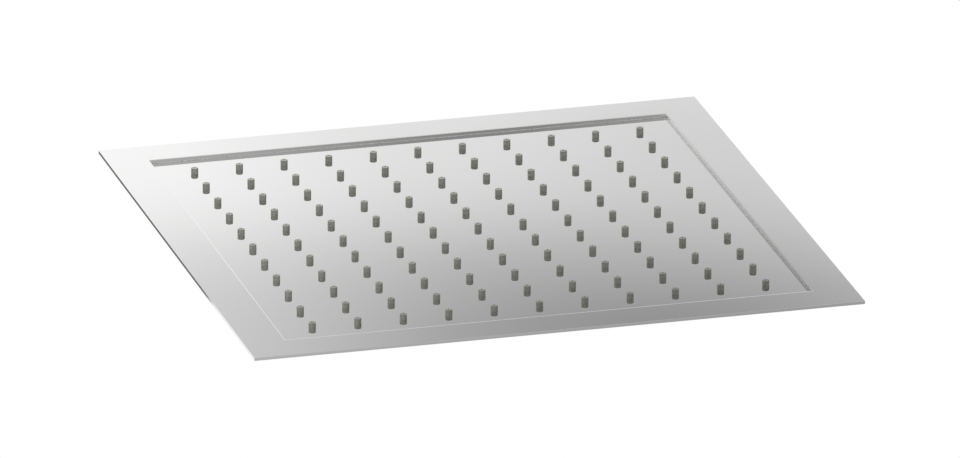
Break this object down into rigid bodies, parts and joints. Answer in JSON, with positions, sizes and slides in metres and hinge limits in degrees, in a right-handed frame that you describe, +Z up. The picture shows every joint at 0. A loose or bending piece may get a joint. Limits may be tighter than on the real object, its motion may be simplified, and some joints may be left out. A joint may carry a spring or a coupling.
{
  "type": "rain shower head",
  "caption": "Square flush ceiling rain shower head: polished steel frame around a recessed panel with a grid of soft nozzles, water tray, threaded inlet and hanger studs behind.",
  "frame": {"origin": "centre of the inlet's mouth, on the axis of the pipe thread", "axes": "+Z up, out of the inlet's mouth, as the head hangs in a ceiling; the nozzles face -Z and stand in rows along X and Y"},
  "size_m": [0.4, 0.4, 0.0336],
  "materials": {
    "polished_steel": "mirror polished stainless steel",
    "mill_steel": "satin mill finish",
    "turned_steel": "turned, bright",
    "silicone": "soft matte silicone",
    "bond": "pale adhesive film",
    "limiter_plastic": "moulded",
    "washer_rubber": "matte"
  },
  "bodies": {
    "root": {"trim_frame": "polished_steel", "nozzle_panel": "polished_steel", "bond_film": "bond", "nozzle_strip_01": "silicone", "nozzle_strip_02": "silicone", "nozzle_strip_03": "silicone", "nozzle_strip_04": "silicone", "nozzle_strip_05": "silicone", "nozzle_strip_06": "silicone", "nozzle_strip_07": "silicone", "nozzle_strip_08": "silicone", "nozzle_strip_09": "silicone", "nozzle_strip_10": "silicone", "nozzle_strip_11": "silicone", "back_tray": "mill_steel", "spacer_pillars": "mill_steel", "stud_pads": "mill_steel", "inlet_socket": "turned_steel", "hanger_studs": "turned_steel", "filter_screen": "turned_steel", "flow_limiter": "limiter_plastic", "filter_washer": "washer_rubber"}
  },
  "joints": []
}
